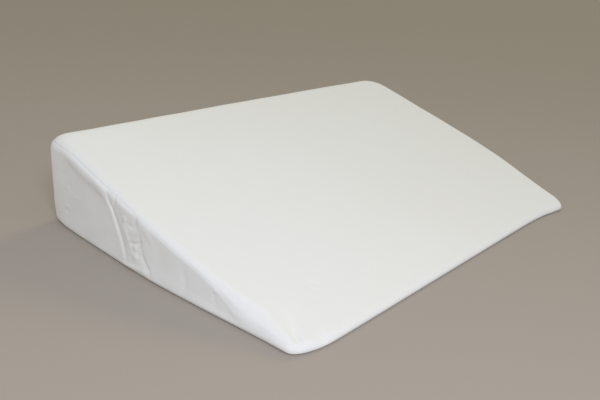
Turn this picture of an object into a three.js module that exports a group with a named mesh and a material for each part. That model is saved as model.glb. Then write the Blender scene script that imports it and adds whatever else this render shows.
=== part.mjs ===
import * as THREE from "three";

// Wedge pillow: one filled, covered body. Millimetres.
// X runs along its width, Y from the thin edge at the front to the tall end at the back, Z up.
// The side seen in the photo is the left one, at the smallest X.

const WIDTH = 800;
const LENGTH = 500;
const TALL_HEIGHT = 141;
const THIN_HEIGHT = 9.5;

// How far the rounding of the upper edge reaches in from each side.
const EDGE_FRONT = 9;
const EDGE_SIDE = 12;
const EDGE_TALL = 28;
const EDGE_TALL_BLEND = 60;
const EDGE_SHARE = 0.55;
// Near the thin end of the left side the edge rounding takes up most of the height above the
// rounding at the base.
const NOSE = { y: -175, spread: 45, share: 0.93, reach: 0.8 };
const BASE_ROUND = 6;
const BASE_SHARE = 0.25;

// Crown of the sloping top, and how the sides swell (positive) or draw in (negative).
const CROWN = 3;
const LEFT_SWELL_LOW = 11.6;
const LEFT_SWELL_HIGH = 7.2;
const LEFT_SWELL_AT = 0.5;
const LEFT_SWELL_SOFT = 0.24;
// The left side leans in from its lower to its upper swell only where its wall is this high.
const LEAN_HEIGHT = 24;
const RIGHT_SWELL = -6;
const TALL_SWELL_LOW = -0.7;
const TALL_SWELL_HIGH = 3.2;

// The tall left corner leans out at the top and is drawn in, with a rounder base, at its foot,
// which ends at a share of the wall's height.
const TALL_LEFT = { reach: 42, out: 1.8 };
const TALL_FOOT = { reach: 30, out: -2.4, round: 5, share: 0.3 };

// The seam of each side panel lies at the foot of the edge rounding, with a soft roll under it.
const SEAM_DRAW = 1.5;
const SEAM_ROLL = 1.3;
const SEAM_ROLL_BELOW = 9;
const SEAM_ROLL_SPREAD = 5;
const SEAM_FULL_HEIGHT = 45;

// The front right corner is drawn in and pulled out forwards into an ear.
const EAR = { inX: -63, outY: -12.1, spreadX: 113.6, spreadY: 143.9, lift: 0.11 };

// Corner radii of the plan at the sides and at the inner end of the edge rounding: x, y.
const SIDE_CORNERS = {
  frontLeft: [64, 21],
  frontRight: [29.5, 29.5],
  backRight: [40, 40],
  backLeft: [17, 17],
};
const TOP_CORNERS = {
  frontLeft: [54, 14],
  frontRight: [20, 20],
  backRight: [34, 26],
  backLeft: [26, 20],
};
// The grid of the slope starts a little further in, with corners of its own.
const GRID_INSET = 14;
const GRID_CORNERS = {
  frontLeft: [46, 16],
  frontRight: [18, 18],
  backRight: [28, 22],
  backLeft: [22, 18],
};

// Folds of the left side, ridges and valleys. Columns: y at the top end, y at the foot, height of
// the top end, height of the foot, how far the middle bows forwards, half width, rise.
const FOLDS = [
  { yTop: 107, yFoot: 49, zTop: 96, zFoot: -12, bow: 7, half: 6, rise: 3.2 },
  { yTop: 95, yFoot: 36, zTop: 94, zFoot: -8, bow: 3, half: 5, rise: -2.4 },
  { yTop: 205, yFoot: 92, zTop: 122, zFoot: 72, bow: 2, half: 14, rise: 1.4 },
  { yTop: 66, yFoot: 28, zTop: 68, zFoot: 10, bow: 0, half: 5, rise: 2 },
  { yTop: 24, yFoot: -10, zTop: 54, zFoot: -4, bow: -4, half: 4.5, rise: -2.2 },
  { yTop: 14, yFoot: -20, zTop: 52, zFoot: -2, bow: -4, half: 5, rise: 1.2 },
  { yTop: 124, yFoot: 86, zTop: 88, zFoot: -4, bow: 6, half: 11, rise: 1.2 },
  { yTop: -57, yFoot: -67, zTop: 46, zFoot: 0, bow: 1, half: 6, rise: -1.3 },
  { yTop: -106, yFoot: -121, zTop: 38, zFoot: 0, bow: 1, half: 7, rise: -0.9 },
];
const FOLD_END = 20;

// Puckers between the folds. Columns: y, z, half width along y and up z, rise.
const PUCKERS = [
  { y: 58, z: 68, halfY: 5, halfZ: 6, rise: 1.6 },
  { y: 46, z: 70, halfY: 4, halfZ: 6, rise: -1.5 },
  { y: 33, z: 36, halfY: 4, halfZ: 6, rise: 1.6 },
  { y: 21, z: 44, halfY: 4, halfZ: 6, rise: 1.2 },
  { y: 32, z: 45, halfY: 12, halfZ: 4, rise: -1.3 },
  { y: 38, z: 56, halfY: 10, halfZ: 4, rise: 1 },
  { y: 30, z: 24, halfY: 5, halfZ: 6, rise: 1.4 },
];

// Shallow hollows of the sloping top near the thin edge. Columns: x, y, half widths, drop.
const HOLLOWS = [
  { x: -300, y: -186, halfX: 16, halfY: 34, drop: 1.1 },
  { x: -368, y: -206, halfX: 18, halfY: 26, drop: 1.3 },
  { x: 150, y: -170, halfX: 60, halfY: 40, drop: 0.8 },
];

// Rows of the skin, from the base up.
const BASE_ROWS = 3;
const WALL_ROWS = [0.08, 0.16, 0.24, 0.32, 0.4, 0.48, 0.56, 0.64, 0.72, 0.8, 0.88, 0.95];
const EDGE_ROWS = 5;

// Stations round the skin: cells of each straight side and of each corner.
const FRONT_CELLS = 24;
const SIDE_CELLS = 18;
const CORNER_CELLS = 6;
// Share of a side that half a corner takes up when stations are matched round the plan.
const CORNER_SHARE = 0.05;
// The left side has closer cells where it folds. Columns: from y, to y, cells.
const LEFT_ZONES = [
  { from: 1, to: 0.78, cells: 7 },
  { from: 0.78, to: 0.46, cells: 42 },
  { from: 0.46, to: 0, cells: 14 },
];

const HALF_X = WIDTH / 2;
const HALF_Y = LENGTH / 2;

function ease(value) {
  const t = Math.min(1, Math.max(0, value));
  return t * t * (3 - 2 * t);
}

function bell(distance, half) {
  return Math.exp(-((distance / half) ** 2));
}

// 1 at the peak, falling straight to 0 at both ends, with a softened tip.
function tent(place, peak, soft) {
  const reach = place > peak ? 1 - peak : peak;
  const away = Math.hypot((place - peak) / reach, soft) - soft;
  return Math.max(0, 1 - away / (Math.hypot(1, soft) - soft));
}

function slopeHeight(y) {
  const along = Math.min(1, Math.max(0, (y + HALF_Y) / LENGTH));
  return THIN_HEIGHT + (TALL_HEIGHT - THIN_HEIGHT) * along;
}

function evenCuts(cells) {
  return Array.from({ length: cells - 1 }, (_, i) => (i + 1) / cells);
}

function leftCuts() {
  const cuts = [];
  for (const zone of LEFT_ZONES) {
    for (let i = 0; i < zone.cells; i += 1) {
      cuts.push(1 - zone.from + ((zone.from - zone.to) * i) / zone.cells);
    }
  }
  return cuts.slice(1);
}

// Plan of a rounded rectangle, counter-clockwise from the middle of the front left corner.
function planRing(box, corners, sideCuts) {
  const centres = [
    [box.left, box.front, 1, 1, corners.frontLeft, 180],
    [box.right, box.front, -1, 1, corners.frontRight, 270],
    [box.right, box.back, -1, -1, corners.backRight, 0],
    [box.left, box.back, 1, -1, corners.backLeft, 90],
  ];
  const arcs = centres.map(([x, y, inX, inY, [rx, ry], start]) =>
    Array.from({ length: CORNER_CELLS + 1 }, (_, i) => {
      const angle = THREE.MathUtils.degToRad(start + (90 * i) / CORNER_CELLS);
      return [x + inX * rx + rx * Math.cos(angle), y + inY * ry + ry * Math.sin(angle)];
    }),
  );
  const ring = [];
  arcs.forEach((arc, i) => {
    const from = arc[CORNER_CELLS];
    const to = arcs[(i + 1) % arcs.length][0];
    const cuts = sideCuts[i];
    const run = cuts.map((f) => [from[0] + (to[0] - from[0]) * f, from[1] + (to[1] - from[1]) * f]);
    ring.push(...arc, ...run);
  });
  const half = CORNER_CELLS / 2;
  return [...ring.slice(half), ...ring.slice(0, half)];
}

function insetRing(front, side, tall, corners, sideCuts) {
  const box = {
    left: -HALF_X + side,
    right: HALF_X - side,
    front: -HALF_Y + front,
    back: HALF_Y - tall,
  };
  return planRing(box, corners, sideCuts);
}

// Stations: the plan at the sides, its outward direction, the way in to the end of the edge
// rounding, and the start of the slope's grid.
function stationsOf(sideCuts) {
  const outer = insetRing(0, 0, 0, SIDE_CORNERS, sideCuts);
  const inner = insetRing(EDGE_FRONT, EDGE_SIDE, EDGE_TALL, TOP_CORNERS, sideCuts);
  const grid = insetRing(
    EDGE_FRONT + GRID_INSET,
    EDGE_SIDE + GRID_INSET,
    EDGE_TALL + GRID_INSET,
    GRID_CORNERS,
    sideCuts,
  );
  return outer.map(([x, y], i) => {
    const next = outer[(i + 1) % outer.length];
    const last = outer[(i + outer.length - 1) % outer.length];
    const run = Math.hypot(next[0] - last[0], next[1] - last[1]);
    const outX = (next[1] - last[1]) / run;
    const outY = (last[0] - next[0]) / run;
    const nose = bell(y - NOSE.y, NOSE.spread) * Math.max(0, -outX) ** 2;
    const wider = 1 + NOSE.reach * nose;
    const [inX, inY] = [(inner[i][0] - x) * wider, (inner[i][1] - y) * wider];
    return { x, y, outX, outY, inX, inY, nose, grid: grid[i] };
  });
}

// How far up the rounding at the base reaches.
function baseHeight(y) {
  return Math.min(BASE_ROUND, BASE_SHARE * slopeHeight(y));
}

// How far down the edge rounding reaches.
function edgeDrop({ y, nose }) {
  const height = slopeHeight(y);
  const side = THREE.MathUtils.lerp(EDGE_FRONT, EDGE_SIDE, (y + HALF_Y) / LENGTH);
  const tall = ease((y - HALF_Y + EDGE_TALL_BLEND) / EDGE_TALL_BLEND);
  const reach = THREE.MathUtils.lerp(side, EDGE_TALL, tall);
  const most = NOSE.share * (height - baseHeight(y));
  return THREE.MathUtils.lerp(Math.min(reach, EDGE_SHARE * height), most, nose);
}

// 1 at the tall left corner of the plan, falling off within a reach of it.
function nearTallLeft(station, reach) {
  return bell(station.x + HALF_X, reach) * bell(station.y - HALF_Y, reach);
}

function cornerSwell(station, share) {
  const top = TALL_LEFT.out * nearTallLeft(station, TALL_LEFT.reach) * ease(share);
  const foot = TALL_FOOT.out * nearTallLeft(station, TALL_FOOT.reach);
  return top + foot * (1 - ease(share / TALL_FOOT.share));
}

// Outward swell of the skin at a share of the wall's height.
function swell(station, share) {
  const along = (station.y + HALF_Y) / LENGTH;
  const across = Math.min(1, Math.max(0, (station.x + HALF_X) / WIDTH));
  const isLeft = Math.max(0, -station.outX) ** 2;
  const isRight = Math.max(0, station.outX) ** 2;
  const isTall = Math.max(0, station.outY) ** 2;
  const wall = slopeHeight(station.y) - edgeDrop(station) - baseHeight(station.y);
  const lean = share * ease(wall / LEAN_HEIGHT);
  const left = THREE.MathUtils.lerp(LEFT_SWELL_LOW, LEFT_SWELL_HIGH, lean);
  const tall = THREE.MathUtils.lerp(TALL_SWELL_LOW, TALL_SWELL_HIGH, share);
  return (
    cornerSwell(station, share) +
    isLeft * left * tent(along, LEFT_SWELL_AT, LEFT_SWELL_SOFT) +
    isRight * RIGHT_SWELL * Math.sin(Math.PI * along) +
    isTall * tall * Math.sqrt(Math.sin(Math.PI * across))
  );
}

function foldRise(fold, y, z) {
  const up = (z - fold.zFoot) / (fold.zTop - fold.zFoot);
  if (up <= 0 || up >= 1) return 0;
  const middle = THREE.MathUtils.lerp(fold.yFoot, fold.yTop, up) - fold.bow * Math.sin(Math.PI * up);
  const ends = ease((z - fold.zFoot) / FOLD_END) * ease((fold.zTop - z) / FOLD_END);
  return fold.rise * bell(y - middle, fold.half) * ends;
}

// Folds and puckers of the left side at a place on it.
function leftRelief(y, z) {
  const folds = FOLDS.reduce((sum, fold) => sum + foldRise(fold, y, z), 0);
  return PUCKERS.reduce(
    (sum, p) => sum + p.rise * bell(y - p.y, p.halfY) * bell(z - p.z, p.halfZ),
    folds,
  );
}

// The seam of a side panel draws the skin in, and the cloth rolls out below it.
function seamRelief(station, z) {
  const seamZ = slopeHeight(station.y) - edgeDrop(station);
  const size = Math.min(1, seamZ / SEAM_FULL_HEIGHT);
  const below = seamZ - z;
  if (below < 0) return 0;
  const draw = below === 0 ? -SEAM_DRAW : 0;
  return size * (draw + SEAM_ROLL * bell(below - SEAM_ROLL_BELOW, SEAM_ROLL_SPREAD));
}

function pullEar([x, y, z]) {
  const near = bell(x - HALF_X, EAR.spreadX) * bell(y + HALF_Y, EAR.spreadY);
  return [x + EAR.inX * near, y + EAR.outY * near, z * (1 + EAR.lift * near)];
}

function wallPoint(station, inset, z, share) {
  const side = station.outX ** 2;
  const isLeft = Math.max(0, -station.outX) ** 2;
  const relief = isLeft * leftRelief(station.y, z) + side * seamRelief(station, z);
  const out = swell(station, share) + relief - inset;
  return pullEar([station.x + station.outX * out, station.y + station.outY * out, z]);
}

// A point of the edge rounding, turned by an angle from the wall (0) to the slope (90 degrees).
function edgePoint(station, angle) {
  const reach = 1 - Math.cos(angle);
  const out = swell(station, 1);
  const x = station.x + station.inX * reach + station.outX * out;
  const y = station.y + station.inY * reach + station.outY * out;
  return pullEar([x, y, slopeHeight(y) - edgeDrop(station) * (1 - Math.sin(angle))]);
}

function gridPoint(station) {
  const out = swell(station, 1);
  const x = station.grid[0] + station.outX * out;
  const y = station.grid[1] + station.outY * out;
  return pullEar([x, y, slopeHeight(y)]);
}

// How far the rounding at the base reaches in and up.
function baseRound(station) {
  const corner = TALL_FOOT.round * nearTallLeft(station, TALL_FOOT.reach);
  return { inset: BASE_ROUND + corner, up: baseHeight(station.y) + corner };
}

function wallRows(stations) {
  const rows = [];
  for (let i = 0; i <= BASE_ROWS; i += 1) {
    const angle = (Math.PI / 2) * (i / BASE_ROWS);
    rows.push(
      stations.map((s) => {
        const round = baseRound(s);
        return wallPoint(s, round.inset * (1 - Math.sin(angle)), round.up * (1 - Math.cos(angle)), 0);
      }),
    );
  }
  for (const share of [...WALL_ROWS, 1]) {
    rows.push(
      stations.map((s) => {
        const round = baseRound(s).up;
        const wallTop = slopeHeight(s.y) - edgeDrop(s);
        return wallPoint(s, 0, share === 1 ? wallTop : round + (wallTop - round) * share, share);
      }),
    );
  }
  return rows;
}

function edgeRow(stations, step) {
  return stations.map((s) => edgePoint(s, (Math.PI / 2) * (step / EDGE_ROWS)));
}

class Skin {
  constructor() {
    this.points = [];
    this.faces = [];
  }

  ring(points) {
    const first = this.points.length;
    this.points.push(...points);
    return points.map((_, i) => first + i);
  }

  strip(low, high) {
    low.forEach((a, i) => {
      const next = (i + 1) % low.length;
      this.faces.push([a, low[next], high[next]], [a, high[next], high[i]]);
    });
  }

  // Joins two rings with different numbers of stations by their place round the plan.
  joinRings(low, high, lowPlaces, highPlaces) {
    let i = 0;
    let j = 0;
    while (i < low.length || j < high.length) {
      const nextLow = i < low.length ? lowPlaces[i + 1] : Infinity;
      const nextHigh = j < high.length ? highPlaces[j + 1] : Infinity;
      const a = low[i % low.length];
      const b = high[j % high.length];
      if (nextLow <= nextHigh) {
        this.faces.push([a, low[(i + 1) % low.length], b]);
        i += 1;
      } else {
        this.faces.push([a, high[(j + 1) % high.length], b]);
        j += 1;
      }
    }
  }

  fan(ring, middle) {
    const centre = this.ring([middle])[0];
    ring.forEach((a, i) => {
      this.faces.push([ring[(i + 1) % ring.length], a, centre]);
    });
  }

  geometry() {
    const made = new THREE.BufferGeometry();
    made.setAttribute("position", new THREE.Float32BufferAttribute(this.points.flat(), 3));
    made.setIndex(this.faces.flat());
    return made;
  }
}

// Place of each station round the plan: whole numbers at the middles of the four corners.
function placesOf(sideCuts) {
  const half = CORNER_CELLS / 2;
  const places = [];
  sideCuts.forEach((cuts, side) => {
    for (let i = 0; i < half; i += 1) places.push(side + (CORNER_SHARE * i) / half);
    places.push(side + CORNER_SHARE);
    for (const cut of cuts) places.push(side + CORNER_SHARE + (1 - 2 * CORNER_SHARE) * cut);
    for (let i = 0; i < half; i += 1) places.push(side + 1 - CORNER_SHARE * (1 - i / half));
  });
  return [...places, sideCuts.length];
}

function hollowDrop(x, y) {
  return HOLLOWS.reduce(
    (sum, h) => sum + h.drop * bell(x - h.x, h.halfX) * bell(y - h.y, h.halfY),
    0,
  );
}

function crownRise(a, b) {
  return CROWN * (1 - (2 * a - 1) ** 2) * (1 - (2 * b - 1) ** 2);
}

// The sloping top as a grid of rows between the four sides of its outline.
function slopeGrid(skin, ring, columns, rows) {
  const at = (i) => skin.points[ring[i % ring.length]];
  const front = (i) => at(i);
  const right = (j) => at(columns + j);
  const back = (i) => at(2 * columns + rows - i);
  const left = (j) => at(2 * columns + 2 * rows - j);
  const edgeIndex = (i, j) => {
    if (j === 0) return ring[i];
    if (i === columns) return ring[columns + j];
    if (j === rows) return ring[2 * columns + rows - i];
    return ring[(2 * columns + 2 * rows - j) % ring.length];
  };
  const grid = [];
  for (let j = 0; j <= rows; j += 1) {
    grid.push([]);
    for (let i = 0; i <= columns; i += 1) {
      const isEdge = i === 0 || j === 0 || i === columns || j === rows;
      if (isEdge) {
        grid[j].push(edgeIndex(i, j));
        continue;
      }
      const a = i / columns;
      const b = j / rows;
      const mix = [0, 1, 2].map(
        (k) =>
          (1 - b) * front(i)[k] + b * back(i)[k] + (1 - a) * left(j)[k] + a * right(j)[k] -
          (1 - a) * (1 - b) * front(0)[k] - a * (1 - b) * front(columns)[k] -
          a * b * right(rows)[k] - (1 - a) * b * left(rows)[k],
      );
      const z = mix[2] + crownRise(a, b) - hollowDrop(mix[0], mix[1]);
      grid[j].push(skin.ring([[mix[0], mix[1], z]])[0]);
    }
  }
  for (let j = 0; j < rows; j += 1) {
    for (let i = 0; i < columns; i += 1) {
      const [a, b] = [grid[j][i], grid[j][i + 1]];
      const [c, d] = [grid[j + 1][i + 1], grid[j + 1][i]];
      skin.faces.push([a, b, c], [a, c, d]);
    }
  }
}

function pillowGeometry() {
  const frontCuts = evenCuts(FRONT_CELLS);
  const sideCuts = evenCuts(SIDE_CELLS);
  const fine = [frontCuts, sideCuts, frontCuts, leftCuts()];
  const coarse = [frontCuts, sideCuts, frontCuts, sideCuts];
  const stations = stationsOf(fine);
  const skin = new Skin();
  const rings = wallRows(stations).map((row) => skin.ring(row));
  for (let step = 1; step <= EDGE_ROWS; step += 1) {
    rings.push(skin.ring(edgeRow(stations, step)));
  }
  rings.slice(1).forEach((ring, i) => skin.strip(rings[i], ring));
  skin.fan(rings[0], [0, 0, 0]);
  const gridRing = skin.ring(stationsOf(coarse).map(gridPoint));
  skin.joinRings(rings[rings.length - 1], gridRing, placesOf(fine), placesOf(coarse));
  slopeGrid(skin, gridRing, FRONT_CELLS + CORNER_CELLS, SIDE_CELLS + CORNER_CELLS);
  const geometry = skin.geometry();
  geometry.computeBoundingBox();
  const middle = geometry.boundingBox.getCenter(new THREE.Vector3());
  geometry.translate(-middle.x, -middle.y, 0);
  return geometry;
}

const pillow = new THREE.Mesh(
  pillowGeometry(),
  new THREE.MeshStandardMaterial({ color: 0xe6e7e3, roughness: 0.9 }),
);
pillow.name = "wedge_pillow";

const part = new THREE.Group();
part.add(pillow);

export default part;
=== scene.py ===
"""Looks of the wedge pillow: a cotton cover with two sewn side panels over a firm filling.

Shape sizes are in millimetres, as in the part's source, and turn into metres when a mesh is made.
X runs along the width, Y from the thin edge to the tall end, Z up. The left side is at low X.
"""
import math

import bmesh
import bpy
import numpy as np
from mathutils import Matrix, Vector


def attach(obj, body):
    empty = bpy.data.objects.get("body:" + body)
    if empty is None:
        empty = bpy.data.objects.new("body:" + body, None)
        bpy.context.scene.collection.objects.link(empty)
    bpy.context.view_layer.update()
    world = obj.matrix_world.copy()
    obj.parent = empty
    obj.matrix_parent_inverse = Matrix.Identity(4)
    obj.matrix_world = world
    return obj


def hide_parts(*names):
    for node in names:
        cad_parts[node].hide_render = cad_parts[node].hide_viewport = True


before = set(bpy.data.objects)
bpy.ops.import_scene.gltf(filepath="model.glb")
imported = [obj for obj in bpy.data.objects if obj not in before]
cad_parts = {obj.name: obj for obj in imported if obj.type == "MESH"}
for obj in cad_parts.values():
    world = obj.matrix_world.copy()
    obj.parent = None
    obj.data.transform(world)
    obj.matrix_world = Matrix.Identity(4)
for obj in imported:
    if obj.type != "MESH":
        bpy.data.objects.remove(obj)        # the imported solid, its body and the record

MM = 0.001
# Less than any distance that matters, in millimetres
TINY = 1e-9
NODE = "wedge_pillow"
# Where the middle of the wedge's plain plan lies in the frame
PLAN_CENTRE = (6.32, 4.05)

# The wedge
WIDTH, LENGTH = 800.0, 500.0
HALF_X, HALF_Y = WIDTH / 2, LENGTH / 2
TALL_HEIGHT, THIN_HEIGHT = 141.0, 9.5
# How far the edge rounding reaches in and down at the front, the sides and the tall end
EDGE_FRONT, EDGE_SIDE, EDGE_TALL = 9.0, 12.0, 28.0
# It deepens to the tall end's over this length, and reaches down this share of the height at most,
# except near the thin end of the left side.
EDGE_TALL_BLEND, EDGE_SHARE = 60.0, 0.55
# There it takes up most of the height above the base's rounding.
NOSE = {"y": -175.0, "spread": 45.0, "share": 0.93, "reach": 0.8}
BASE_ROUND, BASE_SHARE = 6.0, 0.25
CROWN = 3.0
LEFT_SWELL = {"low": 11.6, "high": 7.2, "at": 0.5, "soft": 0.24}
# The left side leans in all the way from its lower to its upper swell where its wall is at least
# this high, and by less where it is lower.
LEAN_HEIGHT = 24.0
RIGHT_SWELL = -6.0
TALL_SWELL = {"low": -0.7, "high": 3.2}
EAR = {"in_x": -63.0, "out_y": -12.1, "spread_x": 113.6, "spread_y": 143.9, "lift": 0.11}

# Corner radii of the plan, front left, front right, back right and back left: at the sides, at the
# inner end of the edge rounding, and where the slope's grid starts.
SIDE_CORNERS = ((64, 21), (29.5, 29.5), (40, 40), (17, 17))
TOP_CORNERS = ((54, 14), (20, 20), (34, 26), (26, 20))
GRID_CORNERS = ((46, 16), (18, 18), (28, 22), (22, 18))
GRID_INSET = 14.0

# Cells of the cover before it is subdivided. Zones: from and to as shares of a straight side, cells.
FRONT_ZONES = ((0.0, 0.17, 20), (0.17, 1.0, 58))
SIDE_ZONES = ((0.0, 0.06, 4), (0.06, 0.2, 14), (0.2, 0.46, 14), (0.46, 0.745, 42), (0.745, 1.0, 14))
CORNER_CELLS, BASE_ROWS, WALL_ROWS, EDGE_ROWS = 8, 3, 22, 10
# The seam of a side panel lies on the edge rounding, this many of its rows up.
SEAM_ROW = 4
BASE_BAND = 4.0

# The slack cover over its filling, before the folds: how far it starts inside, the most it moves,
# and how firmly the slope, the side panels and their slack part are held, where 1 is fixed
START_INSET = 1.0
MOST_MOVE = 3.0
SIM_FRAMES = 20
SLOPE_HOLD, PANEL_HOLD, SLACK_HOLD = 0.55, 0.42, 0.12
# The base's hold fades over this share of the wall's height, and over this height at least.
HOLD_SHARE, HOLD_LEAST = 0.6, 12.0
CLOTH = {
    "quality": 4, "mass": 0.01, "stretch": 12.0, "shear": 4.0, "bending": 0.02, "pressure": 8.0,
    "holding": 0.8,
}

# Seam of a side panel: depth and half width of its groove
SEAM_DEPTH, SEAM_HALF = 1.2, 1.5
# The seam shows less where the wedge is low: heights it fades between, and its least share.
SEAM_FADE = {"from": 65.0, "to": 98.0, "least": 0.12}
# The groove is deeper at its stitches: mean and swing as shares of its depth
STITCH_PITS = {"pitch": 5.5, "mean": 0.75, "swing": 0.25}
GATHER = {"pitch": 12.5, "rise": 0.13, "reach": 8.0}
SEAM_ROLL = {"rise": 0.45, "below": 8.0, "spread": 6.0}
CLOSING_SEAM = {"z": 26.0, "depth": 1.0, "half": 1.6}
# How far below the seam the side panel's folds and unevenness reach their full rise
SEAM_SOFT = 5.0
# The height above the ground at which all relief reaches its full rise
BASE_SOFT = 6.0

# Seeded waves: a shift of the gathers along the seam, a change of their rise, and the unevenness of
# the side panels and of the slope
GATHER_SHIFT = {"rise": 2.5, "pitch": 60.0, "seed": 11}
GATHER_CHANGE = {"rise": 0.6, "pitch": 45.0, "seed": 12}
PANEL_WAVES = {"rise": 0.25, "pitch": 38.0, "seed": 21}
SLOPE_WAVES = {"rise": 0.18, "pitch": 90.0, "seed": 22}
# How many waves each has, and their least and greatest length as shares of the pitch
WAVE_COUNT, WAVE_LENGTHS = 7, (0.75, 1.5)

# The tall left corner leans out at the top, is drawn in at its foot and has a rounder foot. The
# foot ends at a share of the wall's height.
TALL_LEFT = {"x": -400.0, "y": 250.0, "reach": 42.0, "top": 1.8}
TALL_FOOT = {"in": -2.4, "round": 5.0, "reach": 30.0, "share": 0.3}

# Folds of the left side's cloth, which rises or sinks along a curve. Columns of a point: y, z, rise,
# and the fold's half width to the left and to the right of the way along.
FOLDS = (
    # the ridge of the main fold, which turns at its top into the lip of the wrapped edge
    (
        (52, 8, 0.3, 4.0, 6.0), (66, 37, 0.5, 3.2, 7.0), (74, 48, 0.55, 2.8, 6.5),
        (82, 59, 0.6, 2.6, 5.5), (92, 75, 0.7, 2.8, 4.5), (104, 85, 1.1, 7.0, 5.5),
        (116, 91, 1.4, 10.0, 6.5), (139, 96, 1.4, 10.0, 7.5), (169, 104, 1.1, 7.5, 7.5),
        (190, 111, 0.7, 5.0, 6.0),
    ),
    # the crack beside it, which opens into a valley towards the base
    (
        (99, 97, -0.3, 1.8, 1.8), (93, 81, -1.4, 1.9, 1.9), (85, 73, -1.4, 2.0, 2.0),
        (77, 62, -1.4, 2.6, 2.4), (69, 50, -1.5, 3.4, 2.8), (60, 36, -1.4, 4.0, 2.8),
        (50, 18, -0.8, 4.5, 3.2),
    ),
    # a short crease in front of it, and the slack corner under the seam, which ends in a step
    ((80, 90, -0.5, 1.8, 2.2), (81, 82, -1.0, 2.4, 2.6), (83, 74, -0.3, 2.4, 2.4)),
    ((30, 61, -0.2, 1.4, 7.0), (32, 71, -0.9, 1.3, 9.0), (33, 82, -0.5, 1.4, 8.0)),
    # folds of the slack cloth between the main fold and the join seam
    ((62, 63, 0.4, 2.6, 3.4), (56, 54, 0.8, 3.0, 3.4), (48, 42, 0.9, 3.4, 3.8), (39, 28, 0.6, 3.8, 4.4)),
    ((47, 52, 0.3, 2.2, 2.6), (41, 55, 0.6, 2.4, 2.6), (33, 58, 0.3, 2.4, 2.8)),
    (
        (46, 38, -0.5, 3.2, 1.4), (40, 40, -1.2, 3.2, 1.4), (30, 43, -1.2, 3.2, 1.4),
        (20, 47, -1.0, 3.0, 1.4),
    ),
    ((52, 64, -0.4, 2.4, 3.0), (42, 62, -0.8, 2.6, 3.0), (33, 66, -0.4, 2.6, 3.0)),
    ((19, 66, 0.2, 3.4, 3.4), (8, 60, 0.45, 3.6, 3.8), (-3, 50, 0.2, 3.4, 3.8)),
    # the join seam
    (
        (21, 49, -1.1, 6.0, 1.4), (18, 36, -1.8, 7.0, 1.4), (12, 27, -1.8, 7.0, 1.4),
        (3, 17, -1.5, 6.0, 1.5), (-4, 8, -0.4, 5.0, 1.8),
    ),
    # the roll along the base, and soft creases towards the thin edge
    ((64, 4, 0.3, 3.0, 3.0), (48, 6, 0.9, 3.6, 3.2), (24, 9, 0.9, 3.6, 3.2), (2, 10, 0.4, 3.2, 3.2)),
    (
        (-58, 46, -0.2, 3.0, 4.5), (-62, 33, -0.7, 3.0, 4.5), (-66, 22, -0.6, 3.4, 5.0),
        (-66, 6, -0.3, 4.0, 6.0),
    ),
    ((-106, 38, -0.3, 4.0, 5.0), (-115, 24, -0.5, 4.0, 5.0), (-120, 8, -0.3, 5.0, 6.0)),
    # a small raised crease near the tall end
    ((186, 56, 0.2, 3.0, 3.0), (174, 59, 0.5, 3.0, 3.0), (163, 63, 0.2, 3.0, 3.0)),
)
# Creases of the slope near the thin edge's left corner, with the same columns, for x and y.
CREASES = (
    ((-300, -168, 0.2, 3.2, 3.2), (-293, -176, -0.8, 3.2, 3.2), (-286, -182, -0.2, 3.2, 3.2)),
    ((-308, -176, 0.2, 3.2, 3.2), (-302, -184, -0.9, 3.2, 3.2), (-296, -190, -0.2, 3.2, 3.2)),
    ((-319, -185, 0.2, 3.2, 3.2), (-315, -194, -0.8, 3.2, 3.2), (-310, -201, -0.2, 3.2, 3.2)),
    (
        (-370, -204, -0.5, 6.0, 6.0), (-380, -219, -2.4, 5.0, 6.0), (-386, -233, -2.8, 4.8, 5.5),
        (-391, -242, -1.0, 4.0, 5.0),
    ),
    ((-366, -243, -0.6, 4.5, 4.5), (-357, -245, -3.0, 5.5, 4.5), (-346, -246, -0.6, 5.0, 4.5)),
)
# All the creases lie where x and y are both less than these.
CREASED = {"x": -260.0, "y": -140.0}
# Cuts of a fold's curve between two of its points
CURVE_CUTS = 6
# Puckers of the left side. Columns: y, z, half width along y and up z, rise.
PUCKERS = (
    (57, 68, 4.4, 5.0, 1.3),
    (32, 36, 3.4, 4.0, 1.2),
    (21, 44, 3.2, 3.6, 0.8),
    (31, 24, 4.0, 4.5, 1.2),
    (24, 29, 2.6, 3.2, -0.7),
    (202, 86, 2.8, 3.2, -0.8),
    (214, 84, 2.6, 3.0, -0.6),
    (192, 72, 2.8, 3.2, -0.8),
    (203, 62, 2.6, 3.0, -0.6),
    (199, 38, 3.2, 3.2, 1.0),
    (200, 32, 3.2, 3.0, -0.8),
    (-113, 34, 5.0, 3.2, 0.5),
    (-146, 18, 3.0, 3.0, 0.5),
)
# Where the left side's cloth is slack enough to crumple: y, z, half widths, how much longer it is.
SLACK = {"y": 38.0, "z": 42.0, "half_y": 36.0, "half_z": 40.0, "longer": 0.35}
# Shallow hollows of the slope. Columns: x, y, half widths, drop.
HOLLOWS = (
    (-300, -186, 16, 34, 0.5),
    (-368, -206, 18, 26, 1.3),
    (150, -170, 60, 40, 0.8),
)

# Stitches: rows of them on the left side from one place to another, as y, z, and their number
STITCH_ROWS = (((19, 38), (12, 27), 4), ((10, 24), (0, 13), 5), ((-113, 37), (-110, 14), 5))
STITCH = {"length": 3.0, "radius": 0.5, "tilt": 20.0, "sides": 6, "spans": 6, "tip": 0.02}
# A stitch's place is a weighted mean of this many near points of the cloth.
STITCH_NEAR, STITCH_NEAR_SOFT = 4, 0.1
# Points of the cloth with a lower side value are on the left side panel.
LEFT_PANEL = -0.5

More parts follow.
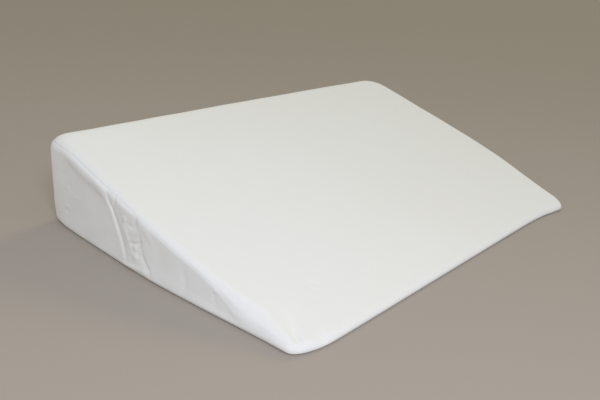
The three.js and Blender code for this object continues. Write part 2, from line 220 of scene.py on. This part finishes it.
# The cotton: its weave, the slubs that roughen it, and the tint that varies slowly over it
WEAVE_PITCH, WEAVE_SHARE = 0.9, 0.5
SLUBS = {"scale": 260.0, "detail": 3.0}
TINT = {"scale": 3.2, "detail": 3.0}
BUMP = {"strength": 0.35, "height": 0.25}
COTTON = (0.815, 0.815, 0.795)
COTTON_CREAM = (0.80, 0.785, 0.74)
COTTON_ROUGHNESS = {"least": 0.84, "slubs": 0.12}
COTTON_SHEEN = {"weight": 0.15, "roughness": 0.5}
COTTON_SPECULAR, PLAIN_SPECULAR = 0.25, 0.2
# Where the normal leans this far to a side, the weave runs along y and z.
SIDE_FACING = 0.7
THREAD = {"colour": (0.86, 0.86, 0.85), "roughness": 0.7}
# Sockets of the colour mixing node
MIX_FIRST, MIX_SECOND, MIX_RESULT = 6, 7, 2

# The studio: a floor, an even surrounding light, a large cool light from the front left and a warm
# one from the right. Places and sizes are in metres, the cool light's energy is in watts and the
# warm one's in watts per square metre.
FLOOR = {"size": 30, "colour": (0.39, 0.345, 0.30), "roughness": 0.95}
SURROUND = {"colour": (0.964, 1.0, 0.93), "strength": 0.50}
KEY = {"place": (-1.36, -1.45, 1.38), "energy": 32.1, "colour": (0.81, 0.83, 1.0), "size": 0.84}
FILL = {"place": (1.6, 0.3, 1.1), "energy": 0.63, "colour": (1.0, 0.81, 0.40), "angle": 20.0}
LIGHT_AIM = Vector((-0.1, -0.05, 0.05))
# The camera: angles in degrees, its distance and target in metres, its focal length in the photo's
# pixels
SENSOR_MM = 36.0
PHOTO_WIDTH_PX = 600
CAMERA = {
    "azimuth": -51.11, "elevation": 21.46, "distance": 1.0745, "target": (-0.1270, -0.0088, 0.05),
    "roll": 5.10, "focal_px": 698.1,
}


def ease(value):
    t = np.clip(value, 0, 1)
    return t * t * (3 - 2 * t)


def bell(distance, half):
    return np.exp(-((distance / half) ** 2))


def tent(place, peak, soft):
    """1 at the peak, falling straight to 0 at both ends, with a softened tip."""
    reach = np.where(place > peak, 1 - peak, peak)
    away = np.hypot((place - peak) / reach, soft) - soft
    return np.maximum(0, 1 - away / (math.hypot(1, soft) - soft))


def slope_height(y):
    return THIN_HEIGHT + (TALL_HEIGHT - THIN_HEIGHT) * np.clip((y + HALF_Y) / LENGTH, 0, 1)


def edge_drop(y):
    """How far down the edge rounding reaches."""
    side = EDGE_FRONT + (EDGE_SIDE - EDGE_FRONT) * (y + HALF_Y) / LENGTH
    tall = ease((y - HALF_Y + EDGE_TALL_BLEND) / EDGE_TALL_BLEND)
    return np.minimum(side + (EDGE_TALL - side) * tall, EDGE_SHARE * slope_height(y))


def zone_cuts(zones):
    cuts = [start + (end - start) * i / cells for start, end, cells in zones for i in range(cells)]
    return np.array(cuts[1:])


def plan_ring(front, side, tall, corners):
    """Plan of a rounded rectangle, counter-clockwise from the middle of the front left corner."""
    low = (-HALF_X + side, -HALF_Y + front)
    high = (HALF_X - side, HALF_Y - tall)
    turns = np.radians(90 * np.arange(CORNER_CELLS + 1) / CORNER_CELLS)
    arcs = []
    for corner, (rx, ry) in enumerate(corners):
        right, back = corner in (1, 2), corner in (2, 3)
        cx = high[0] - rx if right else low[0] + rx
        cy = high[1] - ry if back else low[1] + ry
        angle = turns + math.radians(180 + 90 * corner)
        arcs.append(np.column_stack([cx + rx * np.cos(angle), cy + ry * np.sin(angle)]))
    across, along = zone_cuts(FRONT_ZONES), zone_cuts(SIDE_ZONES)
    pieces = []
    for i, cuts in enumerate((across, along, 1 - across[::-1], 1 - along[::-1])):
        start, end = arcs[i][-1], arcs[(i + 1) % 4][0]
        pieces += [arcs[i], start + (end - start) * cuts[:, None]]
    return np.roll(np.vstack(pieces), -CORNER_CELLS // 2, axis=0)


class Stations:
    """Places round the plan: the side, its outward direction, the end of the edge and the grid."""

    def __init__(self):
        self.plan = plan_ring(0, 0, 0, SIDE_CORNERS)
        self.inward = plan_ring(EDGE_FRONT, EDGE_SIDE, EDGE_TALL, TOP_CORNERS) - self.plan
        insets = [inset + GRID_INSET for inset in (EDGE_FRONT, EDGE_SIDE, EDGE_TALL)]
        self.grid = plan_ring(*insets, GRID_CORNERS)
        run = np.roll(self.plan, -1, 0) - np.roll(self.plan, 1, 0)
        run /= np.linalg.norm(run, axis=1)[:, None]
        self.out = np.column_stack([run[:, 1], -run[:, 0]])
        self.x, self.y = self.plan.T
        self.side = self.out[:, 0] * np.abs(self.out[:, 0])
        self.tall_left = self.near_tall_left(TALL_LEFT["reach"])
        self.base = np.minimum(BASE_ROUND, BASE_SHARE * slope_height(self.y))
        self.tall_foot = self.near_tall_left(TALL_FOOT["reach"])
        nose = bell(self.y - NOSE["y"], NOSE["spread"]) * np.maximum(0, -self.side)
        self.inward *= 1 + NOSE["reach"] * nose[:, None]
        self.drop = edge_drop(self.y)
        most = NOSE["share"] * (slope_height(self.y) - self.base)
        self.drop += nose * (most - self.drop)
        self.wall_top = slope_height(self.y) - self.drop
        self.lean = ease((self.wall_top - self.base) / LEAN_HEIGHT)
        self.base += TALL_FOOT["round"] * self.tall_foot

    def near_tall_left(self, reach):
        return bell(self.x - TALL_LEFT["x"], reach) * bell(self.y - TALL_LEFT["y"], reach)

    def swell(self, share):
        """Outward swell of the skin at a share of the wall's height."""
        along = (self.y + HALF_Y) / LENGTH
        across = np.clip((self.x + HALF_X) / WIDTH, 0, 1)
        low, high = LEFT_SWELL["low"], LEFT_SWELL["high"]
        left = low + (high - low) * share * self.lean
        left *= tent(along, LEFT_SWELL["at"], LEFT_SWELL["soft"])
        tall = TALL_SWELL["low"] + (TALL_SWELL["high"] - TALL_SWELL["low"]) * share
        foot = TALL_FOOT["in"] * (1 - ease(share / TALL_FOOT["share"]))
        return (
            self.tall_left * TALL_LEFT["top"] * ease(share)
            + self.tall_foot * foot
            + np.maximum(0, -self.side) * left
            + np.maximum(0, self.side) * RIGHT_SWELL * np.sin(np.pi * along)
            + np.maximum(0, self.out[:, 1]) ** 2 * tall * np.sqrt(np.sin(np.pi * across))
        )

    def wall_row(self, inset, z, share):
        plan = self.plan + (self.swell(share) - inset)[:, None] * self.out
        return np.column_stack([plan, z])

    def edge_row(self, angle):
        """A ring of the edge rounding, from the wall (angle 0) to the slope (a right angle)."""
        plan = self.plan + self.inward * (1 - math.cos(angle)) + self.out * self.swell(1)[:, None]
        z = slope_height(plan[:, 1]) - self.drop * (1 - math.sin(angle))
        return np.column_stack([plan, z])

    def grid_row(self):
        plan = self.grid + self.out * self.swell(1)[:, None]
        return np.column_stack([plan, slope_height(plan[:, 1])])

    def rows(self):
        """Rings of the skin from the base to the start of the slope's grid."""
        made = []
        for i in range(BASE_ROWS + 1):
            angle = math.radians(90 * i / BASE_ROWS)
            inset = (BASE_ROUND + TALL_FOOT["round"] * self.tall_foot) * (1 - math.sin(angle))
            made.append(self.wall_row(inset, self.base * (1 - math.cos(angle)), 0))
        for i in range(1, WALL_ROWS + 1):
            share = i / WALL_ROWS
            made.append(self.wall_row(0, self.base + (self.wall_top - self.base) * share, share))
        for i in range(1, EDGE_ROWS + 1):
            made.append(self.edge_row(math.radians(90 * i / EDGE_ROWS)))
        return np.array(made + [self.grid_row()])


def pull_ear(points):
    """The front right corner is drawn in and pulled out forwards into an ear."""
    x, y, z = np.moveaxis(points, -1, 0)
    near = bell(x - HALF_X, EAR["spread_x"]) * bell(y + HALF_Y, EAR["spread_y"])
    pull = [EAR["in_x"] * near, EAR["out_y"] * near, EAR["lift"] * near * z]
    return points + np.stack(pull, -1)


def shares(places):
    return (places - places[0]) / (places[-1] - places[0])


def slope_grid(ring, columns, rows):
    """Places between the four sides of the slope's outline, as rows x columns x 3."""
    front = ring[: columns + 1]
    right = ring[columns : columns + rows + 1]
    back = ring[columns + rows : 2 * columns + rows + 1][::-1]
    left = np.vstack([ring[2 * columns + rows :], ring[:1]])[::-1]
    a = shares(back[:, 0])[None, :, None]
    b = shares(left[:, 1])[:, None, None]
    grid = (1 - b) * front[None] + b * back[None] + (1 - a) * left[:, None] + a * right[:, None]
    grid -= (1 - a) * (1 - b) * front[0] + a * (1 - b) * front[-1]
    grid -= a * b * back[-1] + (1 - a) * b * back[0]
    crown = CROWN * (1 - (2 * a - 1) ** 2) * (1 - (2 * b - 1) ** 2)
    grid[:, :, 2] += crown[:, :, 0]
    return grid[1:-1, 1:-1].reshape(-1, 3)


def slackness(y, z, side):
    """How slack the cloth is at a place on the left side, from 0 to 1."""
    near = bell(y - SLACK["y"], SLACK["half_y"]) * bell(z - SLACK["z"], SLACK["half_z"])
    return near * np.maximum(0, -side)


def hold_rows(rows, seam_row, side):
    """How firmly the filling and the seams hold each ring of the skin."""
    held = np.full(rows.shape[:2], SLOPE_HOLD)
    loose = slackness(rows[:seam_row, :, 1], rows[:seam_row, :, 2], side)
    panel = PANEL_HOLD + (SLACK_HOLD - PANEL_HOLD) * loose
    held[:seam_row] = SLOPE_HOLD + (panel - SLOPE_HOLD) * np.abs(side)
    held[seam_row] = np.maximum(SLOPE_HOLD, np.abs(side))
    foot, top = rows[BASE_ROWS, :, 2], rows[BASE_ROWS + WALL_ROWS, :, 2]
    reach = np.maximum(HOLD_LEAST, HOLD_SHARE * (top - foot))
    by_base = 1 - ease((rows[:, :, 2] - foot) / reach)
    return np.maximum(held, by_base).ravel()


class Cover:
    """The cover before it is subdivided: points, faces, and what is known of each point.

    flat is the point's place before the ear is pulled, seam its distance along the cloth above the
    side panel's seam, side runs from -1 on the left side to 1 on the right one, and held is how
    firmly the point stays put.
    """

    def __init__(self):
        stations = Stations()
        rows = stations.rows()
        levels, count = rows.shape[:2]
        index = np.arange(count * levels).reshape(levels, count)
        low, high = index[:-1], index[1:]
        quads = np.stack([low, np.roll(low, -1, 1), np.roll(high, -1, 1), high], -1)
        self.faces = quads.reshape(-1, 4).tolist()
        columns = sum(zone[2] for zone in FRONT_ZONES) + CORNER_CELLS
        up = sum(zone[2] for zone in SIDE_ZONES) + CORNER_CELLS
        inner = self.add_slope(index[-1], columns, up, count * levels)
        self.flat = np.vstack([rows.reshape(-1, 3), slope_grid(rows[-1], columns, up)])
        pulled = pull_ear(rows)
        self.points = np.vstack([pulled.reshape(-1, 3), slope_grid(pulled[-1], columns, up)])
        steps = np.linalg.norm(np.diff(rows, axis=0), axis=2)
        climb = np.vstack([np.zeros(count), np.cumsum(steps, 0)])
        seam_row = BASE_ROWS + WALL_ROWS + SEAM_ROW
        climb -= climb[seam_row]
        self.seam = np.append(climb.ravel(), np.full(inner, climb[-1].max()))
        self.side = np.append(np.tile(stations.side, levels), np.zeros(inner))
        held = hold_rows(rows, seam_row, stations.side)
        self.held = np.append(held, np.full(inner, SLOPE_HOLD))

    def add_slope(self, ring, columns, up, first):
        """Faces of the slope's grid inside a ring of points; returns how many points it adds."""
        index = np.zeros((up + 1, columns + 1), int)
        index[0], index[:, -1] = ring[: columns + 1], ring[columns : columns + up + 1]
        index[-1] = ring[columns + up : 2 * columns + up + 1][::-1]
        index[:, 0] = np.append(ring[2 * columns + up :], ring[0])[::-1]
        inner = index[1:-1, 1:-1]
        inner[:] = first + np.arange(inner.size).reshape(inner.shape)
        quads = np.stack([index[:-1, :-1], index[:-1, 1:], index[1:, 1:], index[1:, :-1]], -1)
        self.faces += quads.reshape(-1, 4).tolist()
        return inner.size


def new_object(name, points, faces, material):
    mesh = bpy.data.meshes.new(name)
    mesh.from_pydata((np.asarray(points) * MM).tolist(), [], faces)
    mesh.shade_smooth()
    mesh.materials.append(material)
    made = bpy.data.objects.new(name, mesh)
    bpy.context.scene.collection.objects.link(made)
    return made


def read_vectors(items, name, count):
    flat = np.zeros(count * 3, np.float32)
    items.foreach_get(name, flat)
    return flat.reshape(-1, 3).astype(float)


def mesh_points(mesh):
    return read_vectors(mesh.vertices, "co", len(mesh.vertices)) / MM


def mesh_normals(mesh):
    return read_vectors(mesh.vertex_normals, "vector", len(mesh.vertices))


def set_points(mesh, points):
    mesh.vertices.foreach_set("co", (points * MM).astype(np.float32).ravel())
    mesh.update()


def store_value(mesh, name, values):
    mesh.attributes.new(name, "FLOAT", "POINT").data.foreach_set("value", values.astype(np.float32))


def take_value(mesh, name):
    values = np.zeros(len(mesh.vertices), np.float32)
    mesh.attributes[name].data.foreach_get("value", values)
    mesh.attributes.remove(mesh.attributes[name])
    return values.astype(float)


def add_group(thing, name, weights):
    """A vertex group with the weights rounded to hundredths."""
    group = thing.vertex_groups.new(name=name)
    levels = np.round(np.clip(weights, 0, 1), 2)
    for level in np.unique(levels):
        group.add(np.flatnonzero(levels == level).tolist(), float(level), "REPLACE")


def relax_cover(cover, shell):
    """Let the slack cover swell over its filling between the seams that hold it."""
    normals = mesh_normals(cover.data)
    start = shell.points - normals * (START_INSET * (1 - shell.held))[:, None]
    set_points(cover.data, start)
    add_group(cover, "held", shell.held)
    slack = slackness(shell.flat[:, 1], shell.flat[:, 2], shell.side) * (shell.seam < 0)
    add_group(cover, "slack", slack)
    cloth = cover.modifiers.new("cloth", "CLOTH")
    settings = cloth.settings
    settings.quality = CLOTH["quality"]
    settings.mass = CLOTH["mass"]
    settings.tension_stiffness = settings.compression_stiffness = CLOTH["stretch"]
    settings.shear_stiffness = CLOTH["shear"]
    settings.bending_stiffness = CLOTH["bending"]
    settings.vertex_group_mass = "held"
    settings.pin_stiffness = CLOTH["holding"]
    settings.vertex_group_shrink = "slack"
    settings.shrink_min = 0
    settings.shrink_max = -SLACK["longer"]
    settings.use_pressure = True
    settings.uniform_pressure_force = CLOTH["pressure"]
    settings.effector_weights.gravity = 0
    cloth.point_cache.frame_end = SIM_FRAMES
    for step in range(1, SIM_FRAMES + 1):
        bpy.context.scene.frame_set(step)
    settled = cover.evaluated_get(bpy.context.evaluated_depsgraph_get())
    moved = mesh_points(settled.data) - shell.points
    cover.modifiers.remove(cloth)
    cover.vertex_groups.clear()
    bpy.context.scene.frame_set(1)
    far = np.maximum(np.linalg.norm(moved, axis=1), TINY)
    moved *= (MOST_MOVE * np.tanh(far / MOST_MOVE) / far)[:, None]
    set_points(cover.data, shell.points + moved)


def subdivide(cover):
    modifier = cover.modifiers.new("subdivide", "SUBSURF")
    modifier.levels = modifier.render_levels = 1
    shown = cover.evaluated_get(bpy.context.evaluated_depsgraph_get())
    coarse = cover.data
    cover.data = bpy.data.meshes.new_from_object(shown)
    cover.modifiers.clear()
    bpy.data.meshes.remove(coarse)
    cover.data.name = "cover"


def close_base(mesh):
    """Fill the opening under the wedge with a flat face inside a narrow flat band."""
    work = bmesh.new()
    work.from_mesh(mesh)
    border = [edge for edge in work.edges if edge.is_boundary]
    face = bmesh.ops.edgeloop_fill(work, edges=border)["faces"][0]
    bmesh.ops.inset_individual(work, faces=[face], thickness=BASE_BAND * MM)
    face.smooth = True
    bmesh.ops.recalc_face_normals(work, faces=work.faces)
    work.to_mesh(mesh)
    work.free()


def waves(x, y, kind):
    """Smooth unevenness: a seeded sum of waves in all directions."""
    rng = np.random.default_rng(kind["seed"])
    total = np.zeros_like(x)
    for _ in range(WAVE_COUNT):
        turn, shift = rng.uniform(0, 2 * np.pi, 2)
        length = kind["pitch"] * rng.uniform(*WAVE_LENGTHS)
        total += np.sin(2 * np.pi * (x * math.cos(turn) + y * math.sin(turn)) / length + shift)
    return kind["rise"] * (total / math.sqrt(WAVE_COUNT))


def curve_through(points):
    """Rows of a smooth curve through the given rows."""
    rows = np.array(points, float)
    rows = np.vstack([2 * rows[0] - rows[1], rows, 2 * rows[-1] - rows[-2]])
    t = (np.arange(CURVE_CUTS) / CURVE_CUTS)[:, None]
    made = [
        b + t * (c - a) / 2 + t**2 * (a - 2.5 * b + 2 * c - d / 2) + t**3 * (1.5 * (b - c) + (d - a) / 2)
        for a, b, c, d in zip(rows, rows[1:], rows[2:], rows[3:])
    ]
    return np.vstack([*made, rows[-2]])


def one_fold(y, z, points):
    """Rise along a curve whose two sides fall off at their own half widths."""
    curve = curve_through(points)
    nearest, known = np.full_like(y, np.inf), np.zeros((2, len(y)))
    for start, end in zip(curve, curve[1:]):
        step_y, step_z = end[:2] - start[:2]
        off_y, off_z = y - start[0], z - start[1]
        share = np.clip((off_y * step_y + off_z * step_z) / (step_y**2 + step_z**2), 0, 1)
        away = np.hypot(off_y - share * step_y, off_z - share * step_z)
        rise, left, right = start[2:, None] + (end - start)[2:, None] * share
        half = np.where(step_y * off_z > step_z * off_y, left, right)
        closer = away < nearest
        nearest = np.where(closer, away, nearest)
        known = np.where(closer, (rise, half), known)
    return known[0] * bell(nearest, known[1])


def fold_relief(y, z):
    """Rise of the left side's folds and puckers at places on it."""
    rise = sum(one_fold(y, z, points) for points in FOLDS)
    for py, pz, half_y, half_z, height in PUCKERS:
        rise += height * bell(y - py, half_y) * bell(z - pz, half_z)
    return rise


def seam_relief(y, seam, side):
    """Groove of a side panel's seam, its stitches and gathers, and the roll of cloth under it."""
    shown = ease((slope_height(y) - SEAM_FADE["from"]) / (SEAM_FADE["to"] - SEAM_FADE["from"]))
    size = (SEAM_FADE["least"] + (1 - SEAM_FADE["least"]) * shown) * np.abs(side)
    pits = np.cos(2 * np.pi * y / STITCH_PITS["pitch"])
    stitch = STITCH_PITS["mean"] + STITCH_PITS["swing"] * pits
    groove = -SEAM_DEPTH * bell(seam, SEAM_HALF) * stitch
    shifted = y + waves(y, 0 * y, GATHER_SHIFT)
    gather = np.cos(2 * np.pi * shifted / GATHER["pitch"]) * bell(seam, GATHER["reach"])
    gather *= 1 + waves(y, seam, GATHER_CHANGE)
    roll = SEAM_ROLL["rise"] * bell(seam + SEAM_ROLL["below"], SEAM_ROLL["spread"])
    return size * (groove + GATHER["rise"] * gather + roll)


def side_relief(y, z, seam, side):
    """Rise of the side panels' seams and unevenness, and of the left one's folds."""
    below_seam = ease(-seam / SEAM_SOFT)
    left = np.maximum(0, -side) * below_seam
    on_left = left > 0
    rise = seam_relief(y, seam, side)
    rise[on_left] += left[on_left] * fold_relief(y[on_left], z[on_left])
    return rise + waves(y, z, PANEL_WAVES) * np.abs(side) * below_seam


def slope_relief(x, y):
    """Rise of the slope's unevenness, hollows and creases at places on it."""
    rise = waves(x, y, SLOPE_WAVES)
    rise -= sum(drop * bell(x - hx, wx) * bell(y - hy, wy) for hx, hy, wx, wy, drop in HOLLOWS)
    creased = (x < CREASED["x"]) & (y < CREASED["y"])
    rise[creased] += sum(one_fold(x[creased], y[creased], points) for points in CREASES)
    return rise


def add_relief(mesh, flat, seam, side):
    """Seams, folds and unevenness of the cloth, raised along its normals."""
    x, y, z = flat.T
    normals = mesh_normals(mesh)
    back = np.clip(normals[:, 1], 0, 1) ** 2 * (1 - np.abs(side))
    closing = CLOSING_SEAM["depth"] * bell(z - CLOSING_SEAM["z"], CLOSING_SEAM["half"])
    top = np.clip(normals[:, 2], 0, 1)
    rise = side_relief(y, z, seam, side) - back * closing + top * slope_relief(x, y)
    points = mesh_points(mesh) + normals * (rise * ease(z / BASE_SOFT))[:, None]
    points[:, 2] = np.maximum(0, points[:, 2])
    set_points(mesh, points)


class Nodes:
    """Shorthand for building a material's nodes."""

    def __init__(self, material):
        material.use_nodes = True
        self.tree = material.node_tree
        self.shader = self.tree.nodes["Principled BSDF"]

    def add(self, kind, **values):
        node = self.tree.nodes.new(kind)
        for name, value in values.items():
            setattr(node, name, value)
        return node

    def link(self, source, target):
        self.tree.links.new(source, target)

    def math(self, operation, first, second=None):
        node = self.add("ShaderNodeMath", operation=operation)
        for socket, value in zip(node.inputs, (first, second)):
            if isinstance(value, (int, float)):
                socket.default_value = value
            elif value is not None:
                self.link(value, socket)
        return node.outputs[0]

    def mix(self, factor, first, second):
        node = self.add("ShaderNodeMix", data_type="RGBA")
        self.link(factor, node.inputs["Factor"])
        node.inputs[MIX_FIRST].default_value = (*first, 1)
        node.inputs[MIX_SECOND].default_value = (*second, 1)
        return node.outputs[MIX_RESULT]

    def noise(self, vector, kind):
        node = self.add("ShaderNodeTexNoise")
        node.inputs["Scale"].default_value = kind["scale"]
        node.inputs["Detail"].default_value = kind["detail"]
        self.link(vector, node.inputs["Vector"])
        return node.outputs[0]


def cotton_material():
    """Off-white cotton in a fine plain weave, a little creamier and duller in places."""
    material = bpy.data.materials.new("cotton")
    n = Nodes(material)
    place = n.add("ShaderNodeTexCoord").outputs["Object"]
    axes = n.add("ShaderNodeSeparateXYZ")
    n.link(place, axes.inputs[0])
    facing = n.add("ShaderNodeSeparateXYZ")
    n.link(n.add("ShaderNodeNewGeometry").outputs["True Normal"], facing.inputs[0])
    is_side = n.math("GREATER_THAN", n.math("ABSOLUTE", facing.outputs[0]), SIDE_FACING)
    not_side = n.math("SUBTRACT", 1.0, is_side)
    x, y, z = axes.outputs
    turn = 2 * math.pi / (WEAVE_PITCH * MM)
    along = n.math("ADD", n.math("MULTIPLY", x, not_side), n.math("MULTIPLY", y, is_side))
    across = n.math("ADD", n.math("MULTIPLY", y, not_side), z)
    warp, weft = (n.math("SINE", n.math("MULTIPLY", way, turn)) for way in (along, across))
    weave = n.math("MULTIPLY", warp, weft)
    slubs = n.noise(place, SLUBS)
    bump = n.add("ShaderNodeBump")
    bump.inputs["Strength"].default_value = BUMP["strength"]
    bump.inputs["Distance"].default_value = BUMP["height"] * MM
    n.link(n.math("ADD", n.math("MULTIPLY", weave, WEAVE_SHARE), slubs), bump.inputs["Height"])
    n.link(bump.outputs[0], n.shader.inputs["Normal"])
    n.link(n.mix(n.noise(place, TINT), COTTON, COTTON_CREAM), n.shader.inputs["Base Color"])
    rougher = n.math("MULTIPLY", slubs, COTTON_ROUGHNESS["slubs"])
    n.link(n.math("ADD", rougher, COTTON_ROUGHNESS["least"]), n.shader.inputs["Roughness"])
    n.shader.inputs["Sheen Weight"].default_value = COTTON_SHEEN["weight"]
    n.shader.inputs["Sheen Roughness"].default_value = COTTON_SHEEN["roughness"]
    n.shader.inputs["Specular IOR Level"].default_value = COTTON_SPECULAR
    return material


def plain_material(name, colour, roughness):
    material = bpy.data.materials.new(name)
    shader = Nodes(material).shader
    shader.inputs["Base Color"].default_value = (*colour, 1)
    shader.inputs["Roughness"].default_value = roughness
    shader.inputs["Specular IOR Level"].default_value = PLAIN_SPECULAR
    return material


def capsules(places, ways, normals):
    """Points and faces of short thick threads, each lying along its way on the cloth."""
    turns = 2 * np.pi * np.arange(STITCH["sides"]) / STITCH["sides"]
    steps = np.cos(np.pi * np.arange(STITCH["spans"] + 1) / STITCH["spans"])
    points, faces = [], []
    for place, way, normal in zip(places, ways, normals):
        across = np.cross(normal, way)
        first = len(points) * STITCH["sides"]
        for t in steps:
            radius = STITCH["radius"] * math.sqrt(max(STITCH["tip"], 1 - t * t))
            spread = np.outer(np.cos(turns), across) + np.outer(np.sin(turns), normal)
            points.append(place - way * t * STITCH["length"] / 2 + radius * spread)
        rings = first + np.arange(len(steps) * STITCH["sides"]).reshape(len(steps), -1)
        ahead = np.roll(rings, -1, 1)
        faces += np.stack([rings[:-1], ahead[:-1], ahead[1:], rings[1:]], -1).reshape(-1, 4).tolist()
        faces += [rings[0][::-1].tolist(), rings[-1].tolist()]
    return np.vstack(points), faces


def make_stitches(cover, flat, side):
    """Rows of stitches that lie on the left side's finished cloth."""
    on_left = side < LEFT_PANEL
    skin, known = mesh_points(cover.data)[on_left], flat[on_left]
    outward = mesh_normals(cover.data)[on_left]
    places, ways, normals = [], [], []
    for start, end, count in STITCH_ROWS:
        for y, z in np.linspace(start, end, count):
            away = np.hypot(known[:, 1] - y, known[:, 2] - z)
            near = np.argsort(away)[:STITCH_NEAR]
            weights = 1 / (away[near] + STITCH_NEAR_SOFT)
            normal = weights @ outward[near]
            normal /= np.linalg.norm(normal)
            turn = math.atan2(end[1] - start[1], end[0] - start[0]) + math.radians(STITCH["tilt"])
            way = np.array([0, math.cos(turn), math.sin(turn)])
            way -= normal * (way @ normal)
            places.append(weights @ skin[near] / weights.sum() + normal * STITCH["radius"] / 2)
            ways.append(way / np.linalg.norm(way))
            normals.append(normal)
    points, faces = capsules(places, ways, normals)
    thread = plain_material("thread", THREAD["colour"], THREAD["roughness"])
    return new_object("stitches", points, faces, thread)


def make_cover():
    shell = Cover()
    cover = new_object("cover", shell.points, shell.faces, cotton_material())
    relax_cover(cover, shell)
    axes = ("flat_x", "flat_y", "flat_z")
    known = dict(zip(axes, shell.flat.T), seam=shell.seam, side=shell.side)
    for name, values in known.items():
        store_value(cover.data, name, values)
    subdivide(cover)
    flat = np.column_stack([take_value(cover.data, name) for name in axes])
    seam, side = (take_value(cover.data, name) for name in ("seam", "side"))
    add_relief(cover.data, flat, seam, side)
    set_points(cover.data, mesh_points(cover.data) + np.array([*PLAN_CENTRE, 0]))
    stitches = make_stitches(cover, flat, side)
    close_base(cover.data)
    return cover, stitches


def make_floor():
    bpy.ops.mesh.primitive_plane_add(size=FLOOR["size"])
    floor = bpy.context.object
    floor.name = "floor"
    floor.data.materials.append(plain_material("floor", FLOOR["colour"], FLOOR["roughness"]))


def make_light(kind, known):
    """A light of a kind, with the known place, energy and colour, turned to the wedge."""
    data = bpy.data.lights.new(kind.lower(), kind)
    data.energy = known["energy"]
    data.color = known["colour"]
    light = bpy.data.objects.new(kind.lower(), data)
    bpy.context.scene.collection.objects.link(light)
    light.location = known["place"]
    light.rotation_euler = (Vector(known["place"]) - LIGHT_AIM).to_track_quat("Z", "Y").to_euler()
    return data


def make_lights():
    world = bpy.data.worlds.new("studio")
    world.use_nodes = True
    back = world.node_tree.nodes["Background"]
    back.inputs["Color"].default_value = (*SURROUND["colour"], 1)
    back.inputs["Strength"].default_value = SURROUND["strength"]
    bpy.context.scene.world = world
    key = make_light("AREA", KEY)
    key.shape = "DISK"
    key.size = KEY["size"]
    make_light("SUN", FILL).angle = math.radians(FILL["angle"])


def make_camera():
    """The camera at the photo's angle, worked out by fitting the wedge's outline to the photo's."""
    a, e = math.radians(CAMERA["azimuth"]), math.radians(CAMERA["elevation"])
    roll = math.radians(CAMERA["roll"])
    back = Vector((math.cos(e) * math.sin(a), -math.cos(e) * math.cos(a), math.sin(e)))
    right = Vector((0, 0, 1)).cross(back).normalized()
    up = back.cross(right)
    turned_right = math.cos(roll) * right + math.sin(roll) * up
    turned_up = math.cos(roll) * up - math.sin(roll) * right
    data = bpy.data.cameras.new("camera")
    data.sensor_width = SENSOR_MM
    data.lens = CAMERA["focal_px"] * SENSOR_MM / PHOTO_WIDTH_PX
    camera = bpy.data.objects.new("camera", data)
    bpy.context.scene.collection.objects.link(camera)
    rotation = Matrix((turned_right, turned_up, back)).transposed().to_4x4()
    place = Vector(CAMERA["target"]) + back * CAMERA["distance"]
    camera.matrix_world = Matrix.Translation(place) @ rotation
    bpy.context.scene.camera = camera


bpy.context.scene.view_settings.view_transform = "Standard"
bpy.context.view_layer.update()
make_camera()
make_floor()
make_lights()
cover, stitches = make_cover()
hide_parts(NODE)
for piece in (cover, stitches):
    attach(piece, "root")
